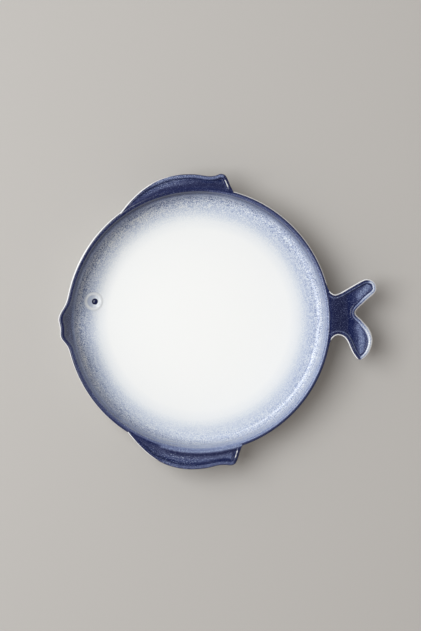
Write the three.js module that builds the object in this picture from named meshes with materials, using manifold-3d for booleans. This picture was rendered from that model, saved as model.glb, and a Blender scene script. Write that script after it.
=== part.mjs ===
// Fish-shaped stoneware pasta plate: a round coved plate with a pinched snout, standing on a
// foot ring, with two fin ledges, a forked tail to hold it by and an eye in relief.
// Millimetres, +Z up. +X runs from the snout to the tail and +Y points to the dorsal fin.
// The pieces are shaped about the centre of the round well, on the table, and the whole plate is
// then moved so that the origin lies under the middle of its length and width.
import * as THREE from 'three';
import { LoftGeometry } from 'three/addons/geometries/LoftGeometry.js';
import { mergeGeometries, mergeVertices } from 'three/addons/utils/BufferGeometryUtils.js';
import Module from 'manifold-3d';

// Round body
const RIM_RADIUS = 110; // outside of the lip
const RIM_HEIGHT = 36; // top of the lip above the table
const WALL = 4; // thickness of floor, wall and lip
const WALL_LEAN = 4; // degrees that the wall leans out from upright
const COVE_RADIUS = 5.5; // hollow between the floor and the wall, inside

// Foot ring
const FOOT_RADIUS = 62; // middle of the ring
const FOOT_WIDTH = 7; // where it meets the floor
const FOOT_HEIGHT = 3.5;
const FOOT_FLANK = 1.2; // each side draws in by this much towards the table

// How the applied pieces are luted on
const SLIP_JOINT = 0.3; // clearance that the slip fills
const ROOT_DEPTH = 20; // how far in from the outside of the lip an outline closes, before it is cut

// Snout: two lips pulled out of the wall, as angle about the well, reach and half-width
const LIPS = [
  { angle: 177.6, reach: 5.9, spread: 5.0 },
  { angle: 185.0, reach: 4.5, spread: 3.5 },
];
const SNOUT_ROOT = 10; // height above the floor at which the wall starts to pull out
const SNOUT_BOW = 1.5; // how the pull grows with height: 1 is straight, more is flared

// Raised border and sunken face that the fins and the tail share
const BORDER_WIDTH = 3.0;
const BORDER_FILLET = 1.2; // from the border's inner side to the sunken face
const UNDERSIDE_ROUND = 2.2;

// Fins: reach is measured out from the lip, angles about the well
const FIN_DROP = 0.6; // top of the border below the top of the lip
const FIN_THICKNESS = 7;
const FIN_RECESS = 2.8;
const FIN_START_ANGLE = 124.3;
const FIN_CREST_ANGLE = 97;
const FIN_DIP_ANGLE = 84.3;
const FIN_TIP_ANGLE = 78.6;
const FIN_END_ANGLE = 72.8;
const DORSAL_CREST_REACH = 11.3;
const DORSAL_DIP_REACH = 9.3;
const DORSAL_TIP_REACH = 12.4;
const VENTRAL_CREST_REACH = 13.9;
const VENTRAL_DIP_REACH = 11.5;
const VENTRAL_TIP_REACH = 13.3;

// Tail: points are measured out from the lip along X, and across along Y
const TAIL_DROP = 4; // top of the border below the top of the lip
const TAIL_THICKNESS = 7;
const TAIL_RECESS = 2.4;
const UPPER_FLUKE = [
  [-10.0, 33.0],
  [-1.4, 21.3],
  [3.7, 17.2],
  [14.6, 22.0],
  [26.2, 28.0],
  [30.9, 29.0],
  [35.8, 27.1],
  [38.1, 22.6],
  [36.8, 17.5],
  [28.0, 10.0],
];
const FORK = [20.1, 1.8];
const LOWER_FLUKE = [
  [25.3, -5.1],
  [31.5, -13.3],
  [33.4, -22.9],
  [29.4, -33.0],
  [22.0, -37.9],
  [16.7, -32.2],
  [12.4, -22.0],
  [5.4, -16.7],
  [-0.4, -19.3],
  [-10.0, -35.0],
];

// Eye: a ring and a pupil in relief, draped over the well's surface
const EYE_INSET = 19.9; // in from the outside of the lip
const EYE_ANGLE = 168;
const EYE_RING_RADIUS = 6.5; // middle of the ring's band
const EYE_RING_BAND = 2.6;
const EYE_RELIEF = 1.2;
const PUPIL_RADIUS = 2.6;
const PUPIL_RELIEF = 1.1;
const PUPIL_SHIFT = 1.2; // towards the middle of the well

// Fineness of the facets
const COARSE_STEP = 4; // degrees round the body
const FINE_STEP = 1.5; // degrees round the snout
const SNOUT_HALF_ANGLE = 17;
const ARC_STEPS = 4; // an arc has twice as many
const FACET_MIN = 0.4; // shortest edge along an inset outline
const FOOT_STEPS = 60;
const EYE_STEPS = 28;

const radians = THREE.MathUtils.degToRad;
const lean = radians(WALL_LEAN);
const floorTop = FOOT_HEIGHT + WALL;

// The body's section is two arcs about shared centres, one for the lip and one for the cove, with
// the leaning wall between them.
const lipCentre = new THREE.Vector2(RIM_RADIUS - WALL / 2, RIM_HEIGHT - WALL / 2);
const coveCentre = coveCentreBelow(lipCentre);

const wasm = await Module();
wasm.setup();

const stations = bodyStations();
const envelope = solidOf(turned(outerProfile(SLIP_JOINT)));

const dorsalEdge = finOutline(DORSAL_CREST_REACH, DORSAL_DIP_REACH, DORSAL_TIP_REACH);
const ventralEdge = finOutline(VENTRAL_CREST_REACH, VENTRAL_DIP_REACH, VENTRAL_TIP_REACH);

const plate = new THREE.Group();
plate.add(
  piece('plate_body', turned(bodyProfile()), glaze(0xe9ebec)),
  piece('foot_ring', footRing(), bareClay()),
  piece('dorsal_fin', fin(dorsalEdge), glaze(0x2c3766)),
  piece('ventral_fin', fin(mirrored(ventralEdge)), glaze(0x2c3766)),
  piece('tail', tail(tailOutline()), glaze(0x1d2753)),
  piece('eye_ring', eyeRing(), glaze(0xdfe3ea)),
  piece('eye_pupil', eyePupil(), glaze(0x161c48)),
);

const middle = new THREE.Box3().setFromObject(plate).getCenter(new THREE.Vector3());
plate.position.set(-middle.x, -middle.y, 0);

export default plate;

// Where the cove's arc is centred so that it meets both the floor and the leaning wall.
function coveCentreBelow(lip) {
  const across = WALL / 2 + COVE_RADIUS;
  const down = (lip.y + across * Math.sin(lean) - floorTop - COVE_RADIUS) / Math.cos(lean);
  return new THREE.Vector2(
    lip.x - down * Math.sin(lean) - across * Math.cos(lean),
    floorTop + COVE_RADIUS,
  );
}

// Section of the open body as distance from the axis and height: from the edge of the flat floor,
// up the cove and the wall, over the lip and down the outside to the flat underside.
function bodyProfile() {
  const path = new THREE.Path();
  path.absarc(coveCentre.x, coveCentre.y, COVE_RADIUS, -Math.PI / 2, -lean, false);
  path.absarc(lipCentre.x, lipCentre.y, WALL / 2, Math.PI - lean, -lean, true);
  path.absarc(coveCentre.x, coveCentre.y, COVE_RADIUS + WALL, -lean, -Math.PI / 2, true);
  return path.getPoints(ARC_STEPS);
}

// Section of the body's outside, filled in, grown by a clearance.
function outerProfile(clearance) {
  const path = new THREE.Path();
  path.absarc(lipCentre.x, lipCentre.y, WALL / 2 + clearance, Math.PI / 2, -lean, true);
  path.absarc(coveCentre.x, coveCentre.y, COVE_RADIUS + WALL + clearance, -lean, -Math.PI / 2, true);
  return path.getPoints(ARC_STEPS);
}

// Angles of the body's facets, closer together round the snout.
function bodyStations() {
  const angles = [];
  let angle = 0;
  while (angle < 360) {
    angles.push(angle);
    angle += Math.abs(angle - 180) < SNOUT_HALF_ANGLE ? FINE_STEP : COARSE_STEP;
  }
  return angles;
}

// How far the snout pulls the wall out at an angle and a height: fully at the lip, and not at all
// below its root.
function snoutReach(angle, height) {
  const root = floorTop + SNOUT_ROOT;
  const rise = THREE.MathUtils.clamp((height - root) / (lipCentre.y - root), 0, 1);
  const pulls = LIPS.map((lip) => lip.reach * Math.exp(-(((angle - lip.angle) / lip.spread) ** 2)));
  return (pulls[0] + pulls[1]) * rise ** SNOUT_BOW;
}

// Solid of the body's section, or of its outside, taken round the well and the snout.
function turned(profile) {
  const rings = profile.map((point) =>
    stations.map((angle) => polar(point.x + snoutReach(angle, point.y), angle).setZ(point.y)),
  );
  return closedLoft(rings.reverse());
}

// Surface through rings that run anticlockwise, with a flat face looking down on the first ring and
// one looking up on the last.
function closedLoft(rings) {
  const [under, upper] = [rings[0], rings.at(-1)].map((ring) =>
    new THREE.ShapeGeometry(new THREE.Shape(ring)).translate(0, 0, ring[0].z),
  );
  under.index.array.reverse();
  under.computeVertexNormals();
  return mergeGeometries([under, new LoftGeometry(rings), upper]);
}

function footRing() {
  const inner = FOOT_RADIUS - FOOT_WIDTH / 2;
  const outer = FOOT_RADIUS + FOOT_WIDTH / 2;
  const section = new THREE.Shape();
  section.moveTo(inner, FOOT_HEIGHT);
  section.quadraticCurveTo(inner, 0, inner + FOOT_FLANK, 0);
  section.lineTo(outer - FOOT_FLANK, 0);
  section.quadraticCurveTo(outer, 0, outer, FOOT_HEIGHT);
  section.closePath();
  return new THREE.LatheGeometry(section.getPoints(ARC_STEPS), FOOT_STEPS).rotateX(Math.PI / 2);
}

// Fin outline seen from above. It runs from the tapered front along the edge to the tip, and closes
// inside the body, where the luted face is cut.
function finOutline(crest, dip, tip) {
  const between = THREE.MathUtils.lerp;
  const edge = [
    [FIN_START_ANGLE, -SLIP_JOINT],
    [between(FIN_START_ANGLE, FIN_CREST_ANGLE, 0.25), 0.35 * crest],
    [between(FIN_START_ANGLE, FIN_CREST_ANGLE, 0.5), 0.7 * crest],
    [between(FIN_START_ANGLE, FIN_CREST_ANGLE, 0.75), 0.93 * crest],
    [FIN_CREST_ANGLE, crest],
    [between(FIN_CREST_ANGLE, FIN_DIP_ANGLE, 0.55), between(crest, dip, 0.33)],
    [FIN_DIP_ANGLE, dip],
    [between(FIN_DIP_ANGLE, FIN_TIP_ANGLE, 0.5), between(dip, tip, 0.3)],
    [between(FIN_DIP_ANGLE, FIN_TIP_ANGLE, 0.8), between(dip, tip, 0.9)],
    [FIN_TIP_ANGLE, tip],
    [between(FIN_TIP_ANGLE, FIN_END_ANGLE, 0.2), 0.93 * tip],
    [between(FIN_TIP_ANGLE, FIN_END_ANGLE, 0.41), 0.7 * tip],
    [between(FIN_TIP_ANGLE, FIN_END_ANGLE, 0.63), 0.4 * tip],
    [between(FIN_TIP_ANGLE, FIN_END_ANGLE, 0.83), 0.15 * tip],
    [FIN_END_ANGLE, -SLIP_JOINT],
  ].map(([angle, reach]) => flat(RIM_RADIUS + reach, angle));
  const outline = new THREE.Path();
  outline.moveTo(edge[0].x, edge[0].y);
  outline.splineThru(edge.slice(1));
  outline.absarc(0, 0, RIM_RADIUS - ROOT_DEPTH, radians(FIN_END_ANGLE), radians(FIN_START_ANGLE), false);
  return outline.getPoints(ARC_STEPS).reverse();
}

function mirrored(outline) {
  return outline.map((point) => new THREE.Vector2(point.x, -point.y)).reverse();
}

function fin(outline) {
  return lutedPlate(outline, RIM_HEIGHT - FIN_DROP, FIN_THICKNESS, FIN_RECESS);
}

// Tail outline seen from above: upper fluke, fork and lower fluke, closing inside the body.
function tailOutline() {
  const points = [...UPPER_FLUKE, FORK, ...LOWER_FLUKE];
  const edge = points.map(([out, across]) => new THREE.Vector2(RIM_RADIUS + out, across));
  const inside = RIM_RADIUS - ROOT_DEPTH;
  const outline = new THREE.Path();
  outline.moveTo(inside, edge[0].y);
  outline.lineTo(edge[0].x, edge[0].y);
  outline.splineThru(edge.slice(1));
  outline.lineTo(inside, edge.at(-1).y);
  return outline.getPoints(ARC_STEPS).reverse();
}

function tail(outline) {
  return lutedPlate(outline, RIM_HEIGHT - TAIL_DROP, TAIL_THICKNESS, TAIL_RECESS);
}

// Plate with a raised, rounded border round a sunken face, cut to seat against the body's outside.
function lutedPlate(outline, top, thickness, recess) {
  const rings = borderProfile(top, thickness, recess).map(({ x: inset, y: height }) =>
    insetOutline(outline, inset).map((point) => new THREE.Vector3(point.x, point.y, height)),
  );
  return geometryOf(solidOf(closedLoft(rings)).subtract(envelope));
}

// Section of the border as inset from the outline and height: from the flat underside, round the
// edge, over the bead and down to the sunken face.
function borderProfile(top, thickness, recess) {
  const bead = BORDER_WIDTH / 2;
  const bottom = top - thickness;
  const path = new THREE.Path();
  path.moveTo(UNDERSIDE_ROUND, bottom);
  path.quadraticCurveTo(0, bottom, 0, bottom + UNDERSIDE_ROUND);
  path.absarc(bead, top - bead, bead, Math.PI, 0, true);
  path.quadraticCurveTo(BORDER_WIDTH, top - recess, BORDER_WIDTH + BORDER_FILLET, top - recess);
  return path.getPoints(ARC_STEPS - 1);
}

// The outline moved inwards, point by point. The outline runs anticlockwise. Where its curve is too
// tight to follow, points that come out nearer than the inset close up on the one before.
function insetOutline(outline, inset) {
  const next = (i) => outline[(i + 1) % outline.length];
  const moved = outline.map((point, i) => {
    const along = new THREE.Vector2().subVectors(next(i), outline.at(i - 1)).normalize();
    return new THREE.Vector2(point.x - along.y * inset, point.y + along.x * inset);
  });
  const isClear = (point) =>
    outline.every((start, i) => distanceToLine(point, start, next(i)) >= 0.96 * inset);
  let kept = moved.findLast(isClear);
  return moved.map((point) => {
    if (isClear(point) && point.distanceTo(kept) > FACET_MIN) kept = point;
    return kept;
  });
}

function distanceToLine(point, start, end) {
  const along = new THREE.Vector2().subVectors(end, start);
  const share = new THREE.Vector2().subVectors(point, start).dot(along) / along.lengthSq();
  return start.clone().addScaledVector(along, THREE.MathUtils.clamp(share, 0, 1)).distanceTo(point);
}

// Height of the well's surface at a distance from its centre.
function wellHeight(radius) {
  const out = Math.min(Math.max(0, radius - coveCentre.x), COVE_RADIUS);
  return coveCentre.y - Math.sqrt(COVE_RADIUS ** 2 - out ** 2);
}

// Lays a small relief, made flat about its own centre, over the well at a place.
function drape(geometry, place) {
  geometry.translate(place.x, place.y, SLIP_JOINT);
  const points = geometry.getAttribute('position');
  for (let i = 0; i < points.count; i++) {
    const radius = Math.hypot(points.getX(i), points.getY(i));
    points.setZ(i, points.getZ(i) + wellHeight(radius));
  }
  return geometry;
}

function eyeRing() {
  const half = EYE_RING_BAND / 2;
  const section = new THREE.Shape();
  section.moveTo(EYE_RING_RADIUS - half, 0);
  section.lineTo(EYE_RING_RADIUS + half, 0);
  section.absellipse(EYE_RING_RADIUS, 0, half, EYE_RELIEF, 0, Math.PI, false, 0);
  const ring = new THREE.LatheGeometry(section.getPoints(ARC_STEPS), EYE_STEPS).rotateX(Math.PI / 2);
  return drape(ring, polar(RIM_RADIUS - EYE_INSET, EYE_ANGLE));
}

function eyePupil() {
  const section = new THREE.Path();
  section.moveTo(0, 0);
  section.lineTo(PUPIL_RADIUS, 0);
  section.absellipse(0, 0, PUPIL_RADIUS, PUPIL_RELIEF, 0, Math.PI / 2, false, 0);
  const pellet = new THREE.LatheGeometry(section.getPoints(ARC_STEPS), EYE_STEPS).rotateX(Math.PI / 2);
  return drape(pellet, polar(RIM_RADIUS - EYE_INSET - PUPIL_SHIFT, EYE_ANGLE));
}

function polar(radius, angle) {
  return new THREE.Vector3(radius * Math.cos(radians(angle)), radius * Math.sin(radians(angle)), 0);
}

function flat(radius, angle) {
  return new THREE.Vector2(radius * Math.cos(radians(angle)), radius * Math.sin(radians(angle)));
}

function glaze(color) {
  return new THREE.MeshStandardMaterial({ color, roughness: 0.18, metalness: 0 });
}

function bareClay() {
  return new THREE.MeshStandardMaterial({ color: 0xd8ccb8, roughness: 0.9, metalness: 0 });
}

function piece(name, geometry, material) {
  const mesh = new THREE.Mesh(geometry, material);
  mesh.name = name;
  return mesh;
}

// A closed geometry as a solid that can be cut. Facets whose corners have closed up are dropped.
function solidOf(geometry) {
  const bare = new THREE.BufferGeometry();
  bare.setAttribute('position', geometry.getAttribute('position'));
  bare.setIndex(geometry.index);
  const merged = mergeVertices(bare);
  const corners = merged.index.array;
  const facets = [];
  for (let i = 0; i < corners.length; i += 3) {
    const [a, b, c] = corners.subarray(i, i + 3);
    if (a !== b && b !== c && c !== a) facets.push(a, b, c);
  }
  return new wasm.Manifold(new wasm.Mesh({
    numProp: 3,
    vertProperties: merged.getAttribute('position').array,
    triVerts: new Uint32Array(facets),
  }));
}

// A cut solid as a geometry.
function geometryOf(solid) {
  const mesh = solid.getMesh();
  const geometry = new THREE.BufferGeometry();
  geometry.setAttribute('position', new THREE.BufferAttribute(mesh.vertProperties, 3));
  geometry.setIndex(new THREE.BufferAttribute(mesh.triVerts, 1));
  geometry.computeVertexNormals();
  return geometry;
}
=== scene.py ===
"""Looks of the fish-shaped pasta plate: white glaze, with cobalt sprayed on towards the lip, the fins and
the tail.

Plan positions are measured from the centre of the round well, +X to the tail and +Y to the dorsal fin, and
heights from the table. Lengths are in metres. A share of blue is 0 for white glaze and 1 for full cobalt.
Ranges are pairs: where something begins and where it is complete, or the two values that it lies between.
"""

import math

import bpy
import numpy as np
from mathutils import Matrix, Vector
from mathutils.geometry import delaunay_2d_cdt


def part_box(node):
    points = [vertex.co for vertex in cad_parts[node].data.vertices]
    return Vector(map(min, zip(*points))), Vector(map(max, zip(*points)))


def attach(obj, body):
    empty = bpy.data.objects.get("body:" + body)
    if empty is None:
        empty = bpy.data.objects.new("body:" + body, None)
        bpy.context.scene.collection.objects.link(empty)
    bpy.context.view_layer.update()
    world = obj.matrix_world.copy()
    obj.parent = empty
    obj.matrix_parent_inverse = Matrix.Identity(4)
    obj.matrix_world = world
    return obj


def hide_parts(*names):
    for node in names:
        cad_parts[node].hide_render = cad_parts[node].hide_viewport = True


MM = 0.001

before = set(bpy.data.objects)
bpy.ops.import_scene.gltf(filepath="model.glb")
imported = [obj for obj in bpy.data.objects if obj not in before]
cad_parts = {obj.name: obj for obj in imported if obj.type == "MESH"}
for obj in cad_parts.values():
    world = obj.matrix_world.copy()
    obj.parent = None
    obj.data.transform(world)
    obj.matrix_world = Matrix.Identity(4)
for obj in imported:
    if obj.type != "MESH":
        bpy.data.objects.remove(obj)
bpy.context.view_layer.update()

# Places and heights that the frame sets
foot_low, foot_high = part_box("foot_ring")
fin_low, fin_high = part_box("dorsal_fin")
tail_low, tail_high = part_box("tail")
WELL = (foot_low + foot_high) / 2
FOOT_HEIGHT = foot_high.z
FOOT_OUTER = (foot_high.x - foot_low.x) / 2
RIM_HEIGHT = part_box("plate_body")[1].z

# Round body
RIM_RADIUS = 110 * MM
WALL = 4 * MM
WALL_LEAN = math.radians(4)
COVE_RADIUS = 5.5 * MM
BODY_STATIONS = 480
FLOOR_STEPS, COVE_STEPS, WALL_STEPS, LIP_STEPS, OUTER_COVE_STEPS, UNDERSIDE_STEPS = 40, 26, 14, 45, 24, 16
WELL_REACH = 0.98

# Snout: (angle, reach, spread) of its two lips
LIPS = [(177.6, 5.9 * MM, 5.0), (185.0, 4.5 * MM, 3.5)]
SNOUT_ROOT = 10 * MM
SNOUT_BOW = 1.5

# Foot ring: rounded where it stands, flared where it sinks into the body
FOOT_WIDTH = 7 * MM
FOOT_ROUND = 1.5 * MM
FOOT_DRAFT = 0.3 * MM
FOOT_WAIST = 0.1 * MM
FOOT_FLARE = 0.7 * MM
FOOT_FLARE_HEIGHT = 0.9 * MM
FOOT_SINK = 0.3 * MM
FOOT_STATIONS, FOOT_ROUND_STEPS = 240, 7

# Border and root of the fins and the tail
BEAD = 2.4 * MM
BEAD_SLOPE = 1.8 * MM
UNDERSIDE_ROUND = 2.2 * MM
SLIP_JOINT = 0.3 * MM
ROOT_INSET = 0.2 * MM
LIP_COVER = 0.02 * MM
EDGE_STEPS = 12

# In from the free edge, where the white break sets in on top, and where the spray runs out underneath
EDGE_FADE = 0.1 * MM
UNDERSIDE_SPRAY, UNDERSIDE_GRAIN = (0.5 * MM, 8 * MM), 0.5

# Mesh of the fins and the tail: rows at these distances from the free edge, and a grid inside them
ROWS = np.array([0.12, 0.4, 0.8, 1.2, 1.6, 2.0, 2.4, 2.8, 3.2, 3.7, 4.2, 4.7]) * MM
ROW_CLEAR = 0.97
GRID_PITCH = 0.8 * MM
GRID_GAP = 0.5 * MM
LOOP_GAP = 0.1 * MM
PROBE = 0.05 * MM
TRIANGLES_INSIDE, WELD = 1, 1e-7

# Fins: angles about the well, and reach beyond the lip at the crest, the dip and the tip
FIN_START, FIN_CREST, FIN_DIP, FIN_TIP, FIN_END = 124.3, 97.0, 84.3, 78.6, 72.8
FIN_RECESS = 2.8 * MM
FIN_BLEND = 8.5 * MM
FIN_ROOT_STEPS = 90
DORSAL = (11.3 * MM, 9.3 * MM, 12.4 * MM)
VENTRAL = (13.9 * MM, 11.5 * MM, 13.3 * MM)

# Points of a fin's edge between those angles, as (share of the turn, share of the change in reach)
FIN_SHAPE = [
    [(0.25, 0.35), (0.5, 0.7), (0.75, 0.93)],
    [(0.55, 0.33)],
    [(0.5, 0.3), (0.8, 0.9)],
    [(0.2, 0.07), (0.41, 0.3), (0.63, 0.6), (0.83, 0.85)],
]

# Fin glaze: least share of blue by the lip, share on the border, shares in the groove and on the face, each
# in front and behind, and width of the white break along the front edge, partly a painted highlight, of the
# widest
DORSAL_GLAZE = {"by_lip": 1.0, "border": 0.76, "groove": (0.84, 0.97), "face": (0.79, 0.97), "lit_break": 1.0}
VENTRAL_GLAZE = {"by_lip": 0, "border": 0.82, "groove": (1.0, 1.0), "face": (0.85, 0.80), "lit_break": 0.65}

# Where a fin's tones lie: by angle, out from the crest of the lip, and in from the free edge
FIN_FRONT, FIN_TAPER = (86, 100), (103, 111)
FIN_OFF_LIP, FIN_FACE_OUT, FIN_GRAIN_OUT = np.array([(1.2, 2.8), (3.5, 6.5), (3, 6)]) * MM
FIN_BORDER, FIN_GROOVE, FIN_FACE = np.array([(0.7, 3.2), (3.7, 5.0), (4.9, 6.3)]) * MM
FIN_LIP_RADIUS = 107 * MM
TAPER_NARROWS_BORDER, TAPER_NARROWS_LIP = 2.4 * MM, 2.5 * MM
TAPER_DARKENS = 0.55
FIN_GRAIN, FIN_FRONT_GRAIN = 0.6, 0.5

# White breaks of a fin: along the front edge, painted only where it faces the light, so partly a painted
# highlight, and a painted glint of the light inside the rear edge
FIN_LIT_BREAK_ANGLES = [88, 97, 104, 111, 118, 124]
FIN_LIT_BREAK_WIDTHS = np.array([-0.3, 0.3, 0.6, 1.1, 1.0, 0.9]) * MM
FIN_BREAK_SOFTNESS = 0.2 * MM
TO_LIGHT, LIT = np.array([-0.95, 0.3]), (0.1, 0.4)
FIN_REAR = (0.5, 0.8)
REAR_GLINT, REAR_GLINT_OUT, REAR_GLINT_SHARE = (1.9 * MM, 3.0 * MM), (3.5 * MM, 10.5 * MM), 0.55

# Tail: free edge as (out from the lip, across) in mm
TAIL_RECESS = 2.4 * MM
TAIL_BLEND = 18 * MM
TAIL_ROOT_STEPS = 60
TAIL = [
    (-4.4, 26.2), (-2.8, 23.0), (-1.2, 20.3), (0.8, 18.3), (3.7, 17.2), (9.1, 19.0), (14.6, 22.0),
    (26.2, 28.0), (30.9, 29.0), (35.8, 27.1), (38.1, 22.6), (36.8, 17.5), (28.0, 10.0), (20.1, 1.8),
    (25.3, -5.1), (31.5, -13.3), (33.4, -22.9), (29.4, -33.0), (22.0, -37.9), (16.7, -32.2), (12.4, -22.0),
    (9.3, -18.1), (5.2, -16.6), (2.0, -17.3), (-0.7, -19.5), (-2.3, -22.4), (-3.6, -25.4),
]

# Tail glaze: full at the root, lighter on the flukes, partly thinner glaze and partly painted sheen, and
# lighter still along a line down the middle of each, a painted sheen of the light; lines in mm
SHEEN_PATHS = [[(23.5, 15.0), (32.0, 23.5)], [(22.0, -10.0), (24.5, -20.0), (23.8, -31.0)]]
SHEEN_REACH, SHEEN_SHARE = (0.8 * MM, 4 * MM), 0.16
FLUKES, FLUKES_SHARE = (15 * MM, 24 * MM), 0.12
TAIL_BORDER_SHARE = 0.98
TAIL_ROOT = (-3 * MM, 0)
TAIL_GRAIN, TAIL_GRAIN_OUT, TAIL_GRAIN_LESS = 0.75, (10 * MM, 20 * MM), 0.1

# Thin line inside the tail's near edges, further in and paler on the lower fluke
LOWER_FLUKE = (10 * MM, 16 * MM)
NEAR_LINE, NEAR_LINE_SHARE = (2.6 * MM, 3.4 * MM), 0.76
NEAR_LINE_LOWER_IN, NEAR_LINE_LOWER_LESS = 0.5 * MM, 0.08

# Pale border on the tail's far side, partly glaze run thin over the bead and partly a painted highlight on
# the bead's slope that faces the light: share of blue and width by place across, with a line along its middle
FAR_BORDER = np.array([-38, -30, -15, -2, 3, 14, 29]) * MM
FAR_BORDER_SHARES = [0.45, 0.2, 0.2, 0.75, 0.8, 0.4, 0.28]
FAR_BORDER_WIDTHS = np.array([2.6, 3.2, 4.0, 3.4, 2.4, 3.4, 2.8]) * MM
FAR_BORDER_SOFTNESS = 0.4 * MM
FAR_FACING, FAR_OUT = (0.05, 0.5), (6 * MM, 12 * MM)
FAR_LINE_FROM, FAR_LINE_TO, FAR_LINE_SHARE = 0.42, 0.66, 0.24

# White break along the tail's edge, dimmer round the tip of the lower fluke, painted shade on that side
TAIL_BREAK, TAIL_BREAK_SOFTNESS = 0.85 * MM, 0.2 * MM
LOWER_TIP, LOWER_TIP_FACING, LOWER_TIP_SHADE = (35 * MM, 37.5 * MM), (0.5, 0.9), 0.5

# Eye: upper section of its ring as (out from its middle, up) in mm
EYE_RADIUS, EYE_ANGLE = 90.1 * MM, math.radians(168)
EYE_STATIONS, EYE_STEPS, PUPIL_STEPS = 96, 5, 14
EYE_SECTION = [
    (0.0, 0.2), (2.8, 0.2), (4.4, 0.3), (5.4, 0.6), (6.2, 0.8), (7.0, 0.65), (7.7, 0.3), (8.3, -0.05),
]
EYE_SINK, EYE_TUCK = 0.5 * MM, 1.0 * MM
EYE_BAND_FROM, EYE_BAND_TO = (4.6 * MM, 5.8 * MM), (7.2 * MM, 8.3 * MM)
EYE_BAND_SHARE, EYE_GRAIN = 0.1, 0.1
PUPIL_RADIUS = 2.6 * MM
PUPIL_RELIEF = 1.1 * MM
PUPIL_SHIFT = 1.2 * MM
PUPIL_RISE, PUPIL_SINK, PUPIL_TUCK = 0.15 * MM, 0.4 * MM, 0.1 * MM

# Spray over the inside: share of blue by distance from the middle, where it is heaviest and where it is
# lightest, and how coarse it is
SPRAY_RADII = np.array([76, 84, 92, 99, 102, 104.5, 105.5, 107.5, 108.5]) * MM
SPRAY_HEAVY = [0, 0.1, 0.35, 0.45, 0.5, 0.55, 1, 1, 1]
SPRAY_LIGHT = [0, 0.05, 0.24, 0.28, 0.4, 0.37, 0.62, 0.64, 0.95]
SPRAY_GRAIN = [0, 0.05, 0.35, 0.85, 1.1, 1.1, 0.85, 0.5, 0.3]
OUTSIDE_GRAIN = 0.5

# By angle, how far the spray goes from the lightest to the heaviest on the floor, on the wall and on the lip,
# partly uneven spray and partly painted shade and light, the wall and lip heaviest where they face away from
# the light, how much coarser or finer it is, and how dry the wall's glaze is
SPRAY_TURNS = [0, 45, 75, 90, 135, 165, 205, 240, 270, 330, 360]
FLOOR_SHARES = [0.9, 0.7, 0.55, 0.1, 0.1, 1, 1, 0.25, 0.05, 0.8, 0.9]
WALL_SHARES = [0.1, 0.65, 0.5, 1, 1, 0.8, 0.45, 0.4, 0, 0, 0.1]
LIP_SHARES = [0.15, 0.6, 0.5, 1, 1, 1, 1, 0.5, 0.1, 0.1, 0.15]
GRAIN_SHARES = [1.1, 1.15, 1.15, 1.15, 1.4, 1.3, 1.1, 0.7, 0.6, 0.85, 1.1]
DRY_SHARES = [0.2, 0.7, 0.7, 0.7, 1, 0.6, 0.5, 0.1, 0, 0, 0.2]
FLOOR_TO_WALL, WALL_TO_LIP = (98 * MM, 103 * MM), (105.5 * MM, 108.5 * MM)
DRY_DROP = (2.2 * MM, 24 * MM)

# A thinner ring round the cove at the head, and a darker ring by the tail, painted shade in the crease where
# the cove meets the wall
HEAD_FROM, HEAD_TO = (135, 165), (208, 222)
THIN_RING, THIN_RING_WIDTH, THIN_RING_SHARE = 102.3 * MM, 1.1 * MM, 0.10
CREASE_SHADE_RING, CREASE_SHADE_WIDTH, CREASE_SHADE_SHARE = 104.15 * MM, 0.25 * MM, 0.16
CREASE_SHADE_SPREAD = 14

# Spray in the snout and over the outside, by how far the lip is pulled and how far under the lip it is
SNOUT_CARRIES = 0.25
SNOUT_PULLED, SNOUT_DROP, SNOUT_THINNER = (0.3 * MM, 1.5 * MM), (2 * MM, 4 * MM), 0.07
OVERSPRAY_DROP = (2 * MM, 15 * MM)

# White break along the outside of the lip: width seen from above, by angle, wider towards the light and left
# out on the side away from it, so partly painted light and shade
LIT_BREAK_ANGLES = [0, 10, 14, 120, 150, 180, 230, 270, 320, 360]
LIT_BREAK_WIDTHS = np.array([-1, -1, 0.65, 0.7, 1.3, 0.8, 0.25, 0, 0, -1]) * MM
BREAK_SOFTNESS = 0.15 * MM
BREAK_DROP = (1.1 * MM, 1.9 * MM)

# Section centres, worked out as the lip and the cove meet the leaning wall
FLOOR_TOP = FOOT_HEIGHT + WALL
LIP = np.array([RIM_RADIUS - WALL / 2, RIM_HEIGHT - WALL / 2])
across = WALL / 2 + COVE_RADIUS
down = (LIP[1] + across * math.sin(WALL_LEAN) - FLOOR_TOP - COVE_RADIUS) / math.cos(WALL_LEAN)
COVE = np.array([LIP[0] - down * math.sin(WALL_LEAN) - across * math.cos(WALL_LEAN), FLOOR_TOP + COVE_RADIUS])

# Glaze colours, by share of blue, and where the glaze breaks over an edge and where highlights and glints of
# the light are painted
WHITE = (0.87, 0.872, 0.855)
EDGE_WHITE = (0.84, 0.845, 0.85)
BLUES = [
    (0.0, WHITE),
    (0.18, (0.706, 0.737, 0.77)),
    (0.40, (0.475, 0.53, 0.648)),
    (0.62, (0.215, 0.268, 0.435)),
    (0.80, (0.068, 0.084, 0.182)),
    (1.0, (0.003, 0.008, 0.055)),
]
GLAZE_ROUGHNESS, PUPIL_ROUGHNESS, DRY_ROUGHNESS = 0.12, 0.08, 0.65
GLAZE_IOR = 1.42

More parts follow.
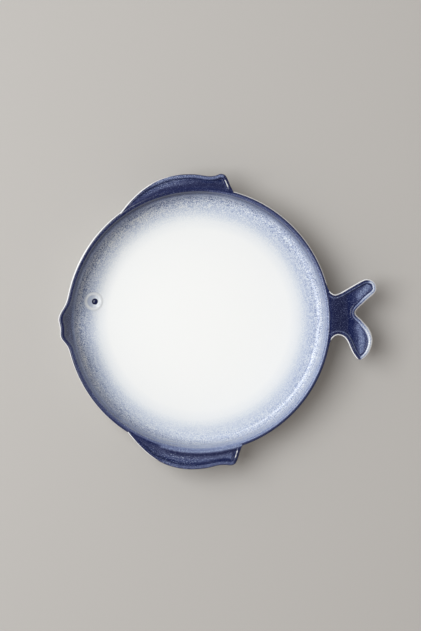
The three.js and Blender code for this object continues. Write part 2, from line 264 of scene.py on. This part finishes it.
# Unevenness of the glaze: how fine each noise is, per metre, and how far it swings the share of blue
DROPLETS, DROPLETS_SWING = 1250.0, 1.6
CLOUDS, CLOUDS_SWING = 300.0, 0.25
STREAKS_ACROSS, STREAKS_ALONG, STREAKS_SWING = 620.0, 5, 0.4
SPECKS, SPECKS_SHOWN, SPECKS_SHARE = 1500.0, (0.62, 0.74), 0.3
GRAIN_ROOM = 1.25
RAGGED_SWING, RAGGED_SHOWN = 0.35, (0.40, 0.62)
RIPPLE_STREAKS, RIPPLE_CLOUDS, RIPPLE_STRENGTH, RIPPLE_DEPTH = 0.5, 0.25, 0.03, 0.4 * MM

# Bare clay of the foot
CLAY = [(0.3, (0.42, 0.33, 0.24)), (0.5, (0.62, 0.53, 0.41)), (0.75, (0.70, 0.62, 0.50))]
CLAY_ROUGHNESS = 0.85
GROG, GROG_STRENGTH, GROG_DEPTH = 900.0, 0.35, 0.2 * MM

# Floor and room
FLOOR_COLOUR, FLOOR_ROUGHNESS, FLOOR_HALF = (0.46, 0.441, 0.417, 1), 0.8, 3.0
ROOM_COLOUR = (1.0, 0.945, 0.91, 1)
ROOM_OVERHEAD, ROOM_LOW, ROOM_HIGH = (0.80, 0.98), 0.525, 0.147
ROOM_BY_HEAD, ROOM_BY_TAIL = 1.4, 0.6


def smooth(low, high, x):
    """0 below low, 1 above high, with an even slope between."""
    t = np.clip((np.asarray(x, float) - low) / (high - low), 0, 1)
    return t * t * (3 - 2 * t)


def between(low, high, x):
    """1 between the two, easing to 0 over a quarter of the width on either side."""
    ease = (high - low) / 4
    return smooth(low - ease, low + ease, x) * (1 - smooth(high - ease, high + ease, x))


def bell(middle, width, x):
    return np.exp(-((x - middle) / width) ** 2)


def arc(centre, radius, start, end, count):
    turn = np.radians(np.linspace(start, end, count))
    return np.column_stack([centre[0] + radius * np.cos(turn), centre[1] + radius * np.sin(turn)])


def line(start, end, count):
    """Points between two ends, without the ends."""
    return np.linspace(start, end, count)[1:-1]


def spline(points, steps):
    """Curve through the points, with that many steps between neighbours."""
    points = np.array(points, float)
    padded = np.vstack([points[0], points, points[-1]])
    curve = []
    for p0, p1, p2, p3 in zip(padded, padded[1:], padded[2:], padded[3:]):
        for t in np.arange(steps) / steps:
            bend = (2 * p0 - 5 * p1 + 4 * p2 - p3) * t * t + (3 * p1 - p0 - 3 * p2 + p3) * t ** 3
            curve.append(p1 + 0.5 * ((p2 - p0) * t + bend))
    return np.array(curve + [points[-1]])


def new_piece(node, points, faces, material, tones):
    """A smooth mesh that stands for a CAD node. tones holds one number per point for each named attribute."""
    name = node + "_glazed"
    mesh = bpy.data.meshes.new(name)
    mesh.from_pydata((np.asarray(points) + np.array([WELL.x, WELL.y, 0])).tolist(), [], faces)
    mesh.shade_smooth()
    for tone, values in tones.items():
        mesh.attributes.new(tone, "FLOAT", "POINT").data.foreach_set("value", np.asarray(values, np.float32))
    piece = bpy.data.objects.new(name, mesh)
    bpy.context.scene.collection.objects.link(piece)
    mesh.materials.append(material)
    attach(piece, "root")
    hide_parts(node)
    return piece


def turned(profile, stations, pull=None):
    """A section that starts and ends on the axis, taken round it: points, faces, and each point's place in
    the section and angle."""
    angles = np.linspace(0, 360, stations, endpoint=False)
    count = len(profile) - 2
    place = np.append(np.repeat(np.arange(1, count + 1), stations), [0, count + 1])
    angle = np.append(np.tile(angles, count), [0, 0])
    radius, height = profile[place].T
    if pull:
        radius = radius + pull(angle, height)
    turn = np.radians(angle)
    points = np.column_stack([radius * np.cos(turn), radius * np.sin(turn), height])
    first, last = len(points) - 2, len(points) - 1
    top = (count - 1) * stations
    faces = []
    for i in range(stations):
        j = (i + 1) % stations
        faces.append((first, i, j))
        faces.append((last, top + j, top + i))
        for k in range(count - 1):
            a, b = k * stations, (k + 1) * stations
            faces.append((a + i, b + i, b + j, a + j))
    return points, faces, place, angle


def snout_pull(angle, height):
    """How far the wall is pulled out into the two lips of the snout."""
    root = FLOOR_TOP + SNOUT_ROOT
    rise = np.clip((height - root) / (LIP[1] - root), 0, 1) ** SNOUT_BOW
    return rise * sum(reach * bell(at, spread, angle) for at, reach, spread in LIPS)


def body_section():
    """From the middle of the floor, up the cove and the wall, over the lip and down to the middle below."""
    lean = math.degrees(WALL_LEAN)
    cove = arc(COVE, COVE_RADIUS, -90, -lean, COVE_STEPS)
    lip = arc(LIP, WALL / 2, 180 - lean, -lean, LIP_STEPS)
    outside = arc(COVE, COVE_RADIUS + WALL, -lean, -90, OUTER_COVE_STEPS)
    first, last = [0, FLOOR_TOP], [0, FOOT_HEIGHT]
    return np.vstack([
        first, line(first, cove[0], FLOOR_STEPS), cove, line(cove[-1], lip[0], WALL_STEPS), lip,
        line(lip[-1], outside[0], WALL_STEPS), outside, line(outside[-1], last, UNDERSIDE_STEPS), last])


def sprayed_at(radius, angle):
    """Share of blue on the inside, thinner round the cove at the head, and darker in a line by the tail,
    painted shade in the crease where the cove meets the wall.
    """
    heavy, light = (np.interp(radius, SPRAY_RADII, shares) for shares in (SPRAY_HEAVY, SPRAY_LIGHT))
    by_place = (FLOOR_SHARES, WALL_SHARES, LIP_SHARES)
    # Swing by angle: partly uneven spray, partly painted shade where the wall and lip face away from the
    # light
    on_floor, on_wall, on_lip = (np.interp(angle % 360, SPRAY_TURNS, shares) for shares in by_place)
    weight = on_floor + (on_wall - on_floor) * smooth(*FLOOR_TO_WALL, radius)
    weight = weight + (on_lip - weight) * smooth(*WALL_TO_LIP, radius)
    share = light + (heavy - light) * weight
    head = smooth(*HEAD_FROM, angle) * (1 - smooth(*HEAD_TO, angle))
    by_tail = bell(0, CREASE_SHADE_SPREAD, (angle + 180) % 360 - 180)
    share = share - THIN_RING_SHARE * head * bell(THIN_RING, THIN_RING_WIDTH, radius)
    # Painted shade: a darker line in the crease at the top of the cove by the tail
    return share + CREASE_SHADE_SHARE * by_tail * bell(CREASE_SHADE_RING, CREASE_SHADE_WIDTH, radius)


def plate_body(material):
    section = body_section()
    points, faces, place, angle = turned(section, BODY_STATIONS, snout_pull)
    radius, height = section[place].T
    crest = np.argmax(section[:, 1])
    inside = place <= crest
    drop = section[crest, 1] - height

    pulled = snout_pull(angle, height)
    reached = np.where(inside | (drop < WALL / 2), radius + SNOUT_CARRIES * pulled, RIM_RADIUS)
    in_snout = smooth(*SNOUT_PULLED, pulled) * smooth(*SNOUT_DROP, drop)
    overspray = np.where(inside, 1, 1 - smooth(*OVERSPRAY_DROP, drop))
    grain = np.where(inside, np.interp(reached, SPRAY_RADII, SPRAY_GRAIN), OUTSIDE_GRAIN)
    # Glaze break, wider where the lip faces the light and left out where it is in shade: partly painted light
    lit_break_width = np.interp(angle, LIT_BREAK_ANGLES, LIT_BREAK_WIDTHS)
    break_line = smooth(-BREAK_SOFTNESS, BREAK_SOFTNESS, radius - RIM_RADIUS + lit_break_width)
    break_line = break_line * (1 - smooth(*BREAK_DROP, drop))
    dry = np.where(inside, between(*DRY_DROP, drop), 0)
    return new_piece("plate_body", points, faces, material, {
        "spray": np.minimum(sprayed_at(reached, angle), 1 - SNOUT_THINNER * in_snout) * overspray,
        "grain": grain * np.interp(angle, SPRAY_TURNS, GRAIN_SHARES),
        "edge": np.where(inside, 0, break_line),
        "dry": dry * np.interp(angle, SPRAY_TURNS, DRY_SHARES)})


def foot_ring(material):
    """Its inner side mirrors the outer one."""
    flare = [FOOT_OUTER + FOOT_FLARE, FOOT_HEIGHT + FOOT_SINK]
    waist = [FOOT_OUTER - FOOT_WAIST, FOOT_HEIGHT - FOOT_FLARE_HEIGHT]
    centre = (FOOT_OUTER - FOOT_DRAFT - FOOT_ROUND, FOOT_ROUND)
    rounded = arc(centre, FOOT_ROUND, 0, -90, FOOT_ROUND_STEPS)
    outer = np.vstack([flare, waist, rounded])
    inner = np.column_stack([2 * FOOT_OUTER - FOOT_WIDTH - outer[:, 0], outer[:, 1]])[::-1]
    ring = np.vstack([outer, inner])
    angles = np.linspace(0, 2 * math.pi, FOOT_STATIONS, endpoint=False)
    points = np.array([(r * math.cos(a), r * math.sin(a), z) for r, z in ring for a in angles])
    faces = []
    for k in range(len(ring)):
        row, next_row = k * FOOT_STATIONS, (k + 1) % len(ring) * FOOT_STATIONS
        for i in range(FOOT_STATIONS):
            j = (i + 1) % FOOT_STATIONS
            faces.append((next_row + i, next_row + j, row + j, row + i))
    return new_piece("foot_ring", points, faces, material, {})


def distance_to(path, points):
    """Distance of each point from an open path, and the share along it of the nearest place."""
    start, step = path[:-1], np.diff(path, axis=0)
    away = points[:, None, :] - start[None]
    along = np.clip((away * step).sum(2) / (step * step).sum(1), 0, 1)
    gap = np.linalg.norm(away - along[..., None] * step, axis=2)
    nearest = gap.argmin(1)
    rows = np.arange(len(points))
    return gap[rows, nearest], (nearest + along[rows, nearest]) / len(step)


def inside_of(loop, points):
    """Whether each point lies inside a closed loop."""
    following = np.roll(loop, -1, axis=0)
    x, y = points[:, :1], points[:, 1:]
    crosses = (loop[:, 1] > y) != (following[:, 1] > y)
    with np.errstate(divide="ignore", invalid="ignore"):
        at = (following[:, 0] - loop[:, 0]) * (y - loop[:, 1]) / (following[:, 1] - loop[:, 1]) + loop[:, 0]
    return (crosses & (x < at)).sum(1) % 2 == 1


def outward_from(free_edge, root):
    """Unit vectors square to the free edge, pointing away from the piece."""
    along = np.gradient(free_edge, axis=0)
    square = np.column_stack([-along[:, 1], along[:, 0]]) / np.linalg.norm(along, axis=1)[:, None]
    middle = len(free_edge) // 2
    probe = free_edge[middle] + square[middle] * PROBE
    return -square if inside_of(np.vstack([free_edge, root]), probe[None])[0] else square


def plan_mesh(free_edge, root):
    """Triangles over the plan inside a free edge and the root line that closes it, finest along that edge."""
    loop = np.vstack([free_edge, root])
    outward = outward_from(free_edge, root)
    near = np.vstack([free_edge - outward * inset for inset in ROWS])
    clear = ROW_CLEAR * np.repeat(ROWS, len(free_edge))
    near = near[(distance_to(free_edge, near)[0] > clear) & inside_of(loop, near)]
    low, high = loop.min(0), loop.max(0)
    columns, rows = np.arange(low[0], high[0], GRID_PITCH), np.arange(low[1], high[1], GRID_PITCH)
    grid = np.stack(np.meshgrid(columns, rows), -1).reshape(-1, 2)
    grid = grid[inside_of(loop, grid)]
    grid = grid[distance_to(free_edge, grid)[0] > ROWS[-1] + GRID_GAP]
    within = np.vstack([near, grid])
    within = within[distance_to(np.vstack([loop, loop[:1]]), within)[0] > LOOP_GAP]
    corners = [Vector(p) for p in np.vstack([loop, within])]
    outline = list(range(len(loop)))
    points, _, faces, *_ = delaunay_2d_cdt(corners, [], [outline], TRIANGLES_INSIDE, WELD)
    return np.array(points), [list(f) for f in faces]


def relief_piece(node, material, free_edge, root, heights, tones):
    """A closed plate over a plan. heights gives its upper and lower faces, tones its colours, both from the
    plan, the distance from the free edge and, for tones, which way that edge faces."""
    plan, faces = plan_mesh(free_edge, root)
    distance, share = distance_to(free_edge, plan)
    facing = outward_from(free_edge, root)[np.round(share * (len(free_edge) - 1)).astype(int)]
    upper, lower = heights(plan, distance)
    count = len(plan)
    points = np.vstack([np.column_stack([plan, upper]), np.column_stack([plan, lower])])
    turns = [np.cross(plan[f[1]] - plan[f[0]], plan[f[2]] - plan[f[0]]) > 0 for f in faces]
    top = [f if up else f[::-1] for f, up in zip(faces, turns)]
    bottom = [[count + i for i in f[::-1]] for f in top]
    edges = {(f[i], f[(i + 1) % 3]) for f in top for i in range(3)}
    sides = [(b, a, count + a, count + b) for a, b in edges if (b, a) not in edges]
    values = tones(plan, distance, facing)
    values["edge"] = values["edge"] * smooth(0, EDGE_FADE, distance)
    none = 0 * distance
    beneath = {"spray": 1 - smooth(*UNDERSIDE_SPRAY, distance), "grain": UNDERSIDE_GRAIN + none, "edge": none}
    both = {tone: np.concatenate([value, beneath[tone]]) for tone, value in values.items()}
    return new_piece(node, points, top + bottom + sides, material, both)


def bead_height(top, face, distance):
    """Height of the raised border: rounded over its crest, with a crisp foot on the sunken face."""
    rim = top - BEAD + np.sqrt(np.maximum(BEAD ** 2 - np.maximum(BEAD - distance, 0) ** 2, 0))
    inner = np.clip((distance - BEAD) / BEAD_SLOPE, 0, 1)
    return np.where(distance < BEAD, rim, top - (top - face) * inner ** 2)


def underside(bottom, distance):
    """Height of the lower face, rounded up to the free edge."""
    inset = np.maximum(UNDERSIDE_ROUND - distance, 0)
    return bottom + UNDERSIDE_ROUND - np.sqrt(np.maximum(UNDERSIDE_ROUND ** 2 - inset ** 2, 0))


def ledge_heights(bottom, top, recess, blend):
    """Upper and lower faces of a ledge: a beaded border round a sunken face, which rises to the lip."""
    face = top - recess

    def heights(plan, distance):
        out = np.linalg.norm(plan, axis=1) - LIP[0]
        lip_slope = face + (RIM_HEIGHT + LIP_COVER - face) * (1 - smooth(0, blend, out))
        return np.maximum(bead_height(top, face, distance), lip_slope), underside(bottom, distance)

    return heights


def root_line(start, end, count):
    """Along the crest of the lip, where a luted piece runs out."""
    angles = np.linspace(math.atan2(*start[::-1]), math.atan2(*end[::-1]), count)
    return (LIP[0] - ROOT_INSET) * np.column_stack([np.cos(angles), np.sin(angles)])


def fin_edge(side, crest, dip, tip):
    """Free edge of a fin, from its tapered front over the crest and the dip to the tip, and back to the
    lip."""
    corners = np.array([(FIN_START, 0), (FIN_CREST, crest), (FIN_DIP, dip), (FIN_TIP, tip), (FIN_END, 0)])
    points = [corners[0]]
    for start, end, shape in zip(corners, corners[1:], FIN_SHAPE):
        points += [start + (end - start) * shares for shares in shape]
        points += [end]
    angle, reach = np.array(points).T
    reach[[0, -1]] = -SLIP_JOINT
    turn, radius = np.radians(angle), RIM_RADIUS + reach
    return spline(np.column_stack([radius * np.cos(turn), side * radius * np.sin(turn)]), EDGE_STEPS)


def fin_tones(shares, plan, distance, facing):
    out = np.linalg.norm(plan, axis=1) - LIP[0]
    angle = np.degrees(np.arctan2(plan[:, 1], plan[:, 0]))
    front, tapered = smooth(*FIN_FRONT, np.abs(angle)), smooth(*FIN_TAPER, np.abs(angle))
    rear = smooth(*FIN_REAR, facing[:, 0])

    def along(ahead, behind):
        return behind + (ahead - behind) * front

    off_lip = smooth(*FIN_OFF_LIP, out)
    at_lip = np.maximum(np.maximum(sprayed_at(FIN_LIP_RADIUS, angle), shares["by_lip"]), tapered)
    on_border = between(*FIN_BORDER, distance) * off_lip * (1 - tapered) * (1 - rear)
    in_groove = between(*FIN_GROOVE, distance) * off_lip * (1 - tapered)
    on_face = smooth(*FIN_FACE, distance + TAPER_NARROWS_BORDER * tapered)
    on_face = on_face * smooth(*FIN_FACE_OUT, out + TAPER_NARROWS_LIP * tapered)
    spray = 1 + (at_lip - 1) * (1 - off_lip)
    spray += (shares["border"] - 1) * on_border
    spray += (along(*shares["groove"]) - 1) * in_groove
    spray += (along(*shares["face"]) - 1) * on_face * (1 - TAPER_DARKENS * tapered)

    # White break kept only where the edge faces the light: glaze break, partly a painted highlight
    lit_break_width = shares["lit_break"] * np.interp(np.abs(angle), FIN_LIT_BREAK_ANGLES, FIN_LIT_BREAK_WIDTHS)
    lit_edge = 1 - smooth(-FIN_BREAK_SOFTNESS, FIN_BREAK_SOFTNESS, distance - lit_break_width)
    lit_edge = lit_edge * smooth(*LIT, facing @ TO_LIGHT)
    # Painted glint of the light on the rear border's crest
    rear_glint = REAR_GLINT_SHARE * rear * between(*REAR_GLINT, distance) * between(*REAR_GLINT_OUT, out)
    return {"spray": spray, "grain": FIN_GRAIN + FIN_FRONT_GRAIN * front * smooth(*FIN_GRAIN_OUT, out),
            "edge": np.maximum(lit_edge, rear_glint)}


def fin(node, side, reaches, shares, material):
    edge = fin_edge(side, *reaches)

    def tones(plan, distance, facing):
        return fin_tones(shares, plan, distance, facing)

    root = root_line(edge[-1], edge[0], FIN_ROOT_STEPS)
    heights = ledge_heights(fin_low.z, fin_high.z, FIN_RECESS, FIN_BLEND)
    return relief_piece(node, material, edge, root, heights, tones)


def tail_points(points):
    """Plan positions of points given out from the lip and across, in mm."""
    return np.array([(RIM_RADIUS + out * MM, across * MM) for out, across in points])


def tail_tones(plan, distance, facing):
    out, up = plan[:, 0] - RIM_RADIUS, plan[:, 1]
    off_sheen = np.min([distance_to(tail_points(path), plan)[0] for path in SHEEN_PATHS], axis=0)
    far_side = smooth(*FAR_FACING, facing[:, 0]) * smooth(*FAR_OUT, out)
    beyond_root = smooth(*TAIL_ROOT, out)
    # Lighter on the flukes, partly thinner glaze and partly painted sheen; a painted sheen of the light down
    # each fluke's middle
    spray = 1.0 - FLUKES_SHARE * smooth(*FLUKES, out)
    spray = spray - SHEEN_SHARE * (1 - smooth(*SHEEN_REACH, off_sheen))
    spray = np.where(distance < BEAD + BEAD_SLOPE, TAIL_BORDER_SHARE, spray)

    lower = smooth(*LOWER_FLUKE, -up)
    near_line = between(*NEAR_LINE, distance - NEAR_LINE_LOWER_IN * lower) * (1 - far_side) * beyond_root
    spray += (NEAR_LINE_SHARE - NEAR_LINE_LOWER_LESS * lower - spray) * near_line

    # Pale far-side border: partly thin glaze, partly a painted highlight of the light on the bead's inner
    # slope
    border_share = np.interp(up, FAR_BORDER, FAR_BORDER_SHARES)
    border_width = np.interp(up, FAR_BORDER, FAR_BORDER_WIDTHS)
    far_line = between(FAR_LINE_FROM * border_width, FAR_LINE_TO * border_width, distance)
    border_share = border_share + FAR_LINE_SHARE * far_line
    beyond_border = smooth(-FAR_BORDER_SOFTNESS, FAR_BORDER_SOFTNESS, distance - border_width)
    spray += (border_share - spray) * far_side * (1 - beyond_border)

    # Painted shade: the white break dims round the lower fluke's tip
    lower_tip = smooth(*LOWER_TIP, -up) * smooth(*LOWER_TIP_FACING, -facing[:, 1])
    break_line = 1 - smooth(TAIL_BREAK - TAIL_BREAK_SOFTNESS, TAIL_BREAK + TAIL_BREAK_SOFTNESS, distance)
    return {"spray": spray, "grain": TAIL_GRAIN - TAIL_GRAIN_LESS * smooth(*TAIL_GRAIN_OUT, out),
            "edge": (1 - LOWER_TIP_SHADE * lower_tip) * beyond_root * break_line}


def tail(material):
    edge = spline(tail_points(TAIL), EDGE_STEPS)
    root = root_line(edge[-1], edge[0], TAIL_ROOT_STEPS)
    heights = ledge_heights(tail_low.z, tail_high.z, TAIL_RECESS, TAIL_BLEND)
    return relief_piece("tail", material, edge, root, heights, tail_tones)


def well_height(radius):
    """Height of the well's surface at a distance from its middle, up to near the top of the cove."""
    out = np.clip(radius - COVE[0], 0, WELL_REACH * COVE_RADIUS)
    return COVE[1] - np.sqrt(COVE_RADIUS ** 2 - out ** 2)


def draped(node, section, radius, material, tones):
    """A small turned relief laid over the well on the eye's heading. tones gives its colours from the
    distance from its own middle and the spray around it."""
    points, faces, place, _ = turned(section, EYE_STATIONS)
    points[:, :2] += radius * np.array([math.cos(EYE_ANGLE), math.sin(EYE_ANGLE)])
    from_middle = np.linalg.norm(points[:, :2], axis=1)
    points[:, 2] += well_height(from_middle)
    around = sprayed_at(from_middle, math.degrees(EYE_ANGLE))
    return new_piece(node, points, faces, material, tones(section[place, 0], around))


def eye_ring(material):
    """A shallow dish inside a soft raised ring."""
    upper = spline(EYE_SECTION, EYE_STEPS) * MM
    section = np.vstack([upper, [[upper[-1, 0] - EYE_TUCK, -EYE_SINK], [0, -EYE_SINK]]])

    def tones(out, around):
        on_band = smooth(*EYE_BAND_FROM, out) * (1 - smooth(*EYE_BAND_TO, out))
        spray = around + (EYE_BAND_SHARE - around) * on_band
        return {"spray": spray, "grain": EYE_GRAIN + 0 * out, "edge": 0 * out}

    return draped("eye_ring", section, EYE_RADIUS, material, tones)


def eye_pupil(material):
    """A low dome."""
    dome = arc((0, 0), PUPIL_RADIUS, 90, 0, PUPIL_STEPS) * [1, PUPIL_RELIEF / PUPIL_RADIUS] + [0, PUPIL_RISE]
    section = np.vstack([dome, [[PUPIL_RADIUS - PUPIL_TUCK, -PUPIL_SINK], [0, -PUPIL_SINK]]])
    section[0, 0] = 0

    def tones(out, around):
        return {"spray": 1 + 0 * out, "grain": 0 * out, "edge": 0 * out}

    return draped("eye_pupil", section, EYE_RADIUS - PUPIL_SHIFT, material, tones)


class Nodes:
    """Short calls for building a node tree."""

    def __init__(self, material):
        material.use_nodes = True
        self.tree = material.node_tree
        self.shader = self.tree.nodes.get("Principled BSDF")

    def add(self, kind, inputs=(), **settings):
        node = self.tree.nodes.new(kind)
        for name, value in settings.items():
            setattr(node, name, value)
        for name, value in dict(inputs).items():
            self.set(node.inputs[name], value)
        return node

    def set(self, socket, value):
        if isinstance(value, bpy.types.NodeSocket):
            self.tree.links.new(value, socket)
        else:
            socket.default_value = value

    def math(self, operation, a, b=0.0, clamp=False):
        return self.add("ShaderNodeMath", {0: a, 1: b}, operation=operation, use_clamp=clamp).outputs[0]

    def vector(self, operation, a, b=(0, 0, 0)):
        return self.add("ShaderNodeVectorMath", {0: a, 1: b}, operation=operation).outputs[0]

    def attribute(self, name):
        return self.add("ShaderNodeAttribute", attribute_name=name).outputs["Fac"]

    def noise(self, vector, scale, detail, roughness=0.5):
        inputs = {"Vector": vector, "Scale": scale, "Detail": detail, "Roughness": roughness}
        return self.add("ShaderNodeTexNoise", inputs).outputs["Fac"]

    def wobble(self, noise, amount):
        """A noise made to swing that far to either side of nought."""
        return self.math("MULTIPLY", self.math("SUBTRACT", noise, 0.5), amount)

    def span(self, value, low, high, start=0.0, end=1.0, ease="LINEAR"):
        inputs = {"Value": value, "From Min": low, "From Max": high, "To Min": start, "To Max": end}
        return self.add("ShaderNodeMapRange", inputs, interpolation_type=ease).outputs[0]

    def ramp(self, factor, stops):
        node = self.add("ShaderNodeValToRGB", {"Fac": factor})
        elements = node.color_ramp.elements
        while len(elements) < len(stops):
            elements.new(0.5)
        for element, (position, colour) in zip(elements, stops):
            element.position = position
            element.color = (*colour, 1)
        return node.outputs["Color"]

    def bump(self, height, strength, depth):
        inputs = {"Height": height, "Strength": strength, "Distance": depth}
        self.set(self.shader.inputs["Normal"], self.add("ShaderNodeBump", inputs).outputs["Normal"])


def glaze(name, roughness=GLAZE_ROUGHNESS, dry_roughness=None):
    """Glossy glaze. The spray attribute gives the share of blue, broken up by droplets where the grain
    attribute says, the edge attribute where the glaze has run thin and shows white and where highlights and
    glints of the light are painted, and the dry attribute where it is rougher."""
    material = bpy.data.materials.new(name)
    n = Nodes(material)
    place = n.add("ShaderNodeTexCoord").outputs["Object"]
    middle = n.vector("SUBTRACT", place, (WELL.x, WELL.y, 0))
    flat = n.vector("MULTIPLY", middle, (1, 1, 0))
    radius = n.add("ShaderNodeVectorMath", {0: flat}, operation="LENGTH").outputs["Value"]
    heading = n.vector("MULTIPLY", n.vector("NORMALIZE", flat), [STREAKS_ALONG] * 3)
    band = n.add("ShaderNodeCombineXYZ", {"Z": n.math("MULTIPLY", radius, STREAKS_ACROSS)}).outputs[0]

    spray, grain = n.attribute("spray"), n.attribute("grain")
    droplets = n.noise(middle, DROPLETS, detail=1.0, roughness=0.6)
    clouds = n.noise(middle, CLOUDS, detail=3.0, roughness=0.6)
    streaks = n.noise(n.vector("ADD", heading, band), 1.0, detail=2.0)
    specks = n.span(n.noise(middle, SPECKS, detail=0.0), *SPECKS_SHOWN)
    room = n.math("MULTIPLY", grain, n.math("SUBTRACT", GRAIN_ROOM, spray))
    uneven = n.math("ADD", n.wobble(droplets, DROPLETS_SWING), n.wobble(clouds, CLOUDS_SWING))
    uneven = n.math("ADD", uneven, n.wobble(streaks, STREAKS_SWING))
    share = n.math("ADD", spray, n.math("MULTIPLY", uneven, room))
    bare = n.math("MULTIPLY", n.math("MULTIPLY", specks, grain), SPECKS_SHARE)
    colour = n.ramp(n.math("SUBTRACT", share, bare, clamp=True), BLUES)

    ragged = n.math("ADD", n.attribute("edge"), n.wobble(clouds, RAGGED_SWING))
    mixed = n.add("ShaderNodeMix", data_type="RGBA")
    n.set(mixed.inputs["Factor"], n.span(ragged, *RAGGED_SHOWN))
    n.set(mixed.inputs["A"], colour)
    n.set(mixed.inputs["B"], (*EDGE_WHITE, 1))
    n.set(n.shader.inputs["Base Color"], mixed.outputs["Result"])

    from_streaks = n.math("MULTIPLY", streaks, RIPPLE_STREAKS)
    from_clouds = n.math("MULTIPLY", clouds, RIPPLE_CLOUDS)
    n.bump(n.math("ADD", from_streaks, from_clouds), RIPPLE_STRENGTH, RIPPLE_DEPTH)
    if dry_roughness:
        roughness = n.span(n.attribute("dry"), 0, 1, roughness, dry_roughness)
    n.set(n.shader.inputs["Roughness"], roughness)
    n.set(n.shader.inputs["IOR"], GLAZE_IOR)
    return material


def bare_clay():
    material = bpy.data.materials.new("bare clay")
    n = Nodes(material)
    place = n.add("ShaderNodeTexCoord").outputs["Object"]
    grog = n.noise(place, GROG, detail=3.0, roughness=0.7)
    n.set(n.shader.inputs["Base Color"], n.ramp(grog, CLAY))
    n.set(n.shader.inputs["Roughness"], CLAY_ROUGHNESS)
    n.bump(grog, GROG_STRENGTH, GROG_DEPTH)
    return material


def floor():
    material = bpy.data.materials.new("floor")
    n = Nodes(material)
    n.set(n.shader.inputs["Base Color"], FLOOR_COLOUR)
    n.set(n.shader.inputs["Roughness"], FLOOR_ROUGHNESS)
    corners = [(-1, -1, 0), (1, -1, 0), (1, 1, 0), (-1, 1, 0)]
    mesh = bpy.data.meshes.new("floor")
    mesh.from_pydata([FLOOR_HALF * Vector(corner) for corner in corners], [], [(0, 1, 2, 3)])
    mesh.materials.append(material)
    plane = bpy.data.objects.new("floor", mesh)
    bpy.context.scene.collection.objects.link(plane)


def area_light(name, heading, elevation, distance, size, watts, colour):
    """A square soft light that looks at the plate from a heading and an elevation in degrees."""
    light = bpy.data.lights.new(name, "AREA")
    light.size = size
    light.energy = watts
    light.color = colour
    lamp = bpy.data.objects.new(name, light)
    heading, elevation = math.radians(heading), math.radians(elevation)
    level = math.cos(elevation)
    away = Vector((level * math.cos(heading), level * math.sin(heading), math.sin(elevation)))
    lamp.location = away * distance
    lamp.rotation_euler = (-away).to_track_quat("-Z", "Y").to_euler()
    bpy.context.scene.collection.objects.link(lamp)


def lights():
    """A large window over the head, and a pale room that is darker straight above and by the tail."""
    daylight = (0.945, 0.977, 0.998)
    area_light("window", heading=163, elevation=61, distance=1.7, size=1.2, watts=26.0, colour=daylight)
    world = bpy.data.worlds.new("room")
    bpy.context.scene.world = world
    n = Nodes(world)
    background = n.tree.nodes["Background"]
    toward = n.add("ShaderNodeSeparateXYZ", {0: n.add("ShaderNodeTexCoord").outputs["Generated"]}).outputs
    n.set(background.inputs["Color"], ROOM_COLOUR)
    by_height = n.span(toward["Z"], *ROOM_OVERHEAD, ROOM_LOW, ROOM_HIGH, ease="SMOOTHSTEP")
    by_side = n.span(toward["X"], -1, 1, ROOM_BY_HEAD, ROOM_BY_TAIL)
    n.set(background.inputs["Strength"], n.math("MULTIPLY", by_height, by_side))


def camera():
    """Straight down. The rim's centre and radius fall where the photograph has them, in its pixels."""
    picture = (421, 631)
    rim_centre = (198.65, 320.0)
    rim_radius = 133.3
    above_rim = 1.4
    roll = math.radians(2)
    pixel = RIM_RADIUS / rim_radius
    lens = bpy.data.cameras.new("camera")
    lens.sensor_fit = "VERTICAL"
    lens.angle_y = 2 * math.atan(picture[1] / 2 * pixel / above_rim)
    aside = Vector((picture[0] / 2 - rim_centre[0], rim_centre[1] - picture[1] / 2)) * pixel
    aside.rotate(Matrix.Rotation(-roll, 2))
    eye = bpy.data.objects.new("camera", lens)
    eye.location = (WELL.x + aside.x, WELL.y + aside.y, RIM_HEIGHT + above_rim)
    eye.rotation_euler = (0, 0, -roll)
    bpy.context.scene.collection.objects.link(eye)
    bpy.context.scene.camera = eye


fin_glaze = glaze("fin glaze")
plate_body(glaze("well glaze", dry_roughness=DRY_ROUGHNESS))
foot_ring(bare_clay())
fin("dorsal_fin", 1, DORSAL, DORSAL_GLAZE, fin_glaze)
fin("ventral_fin", -1, VENTRAL, VENTRAL_GLAZE, fin_glaze)
tail(glaze("tail glaze"))
eye_ring(glaze("eye glaze"))
eye_pupil(glaze("pupil glaze", roughness=PUPIL_ROUGHNESS))
floor()
lights()
camera()
bpy.context.scene.view_settings.view_transform = "Standard"
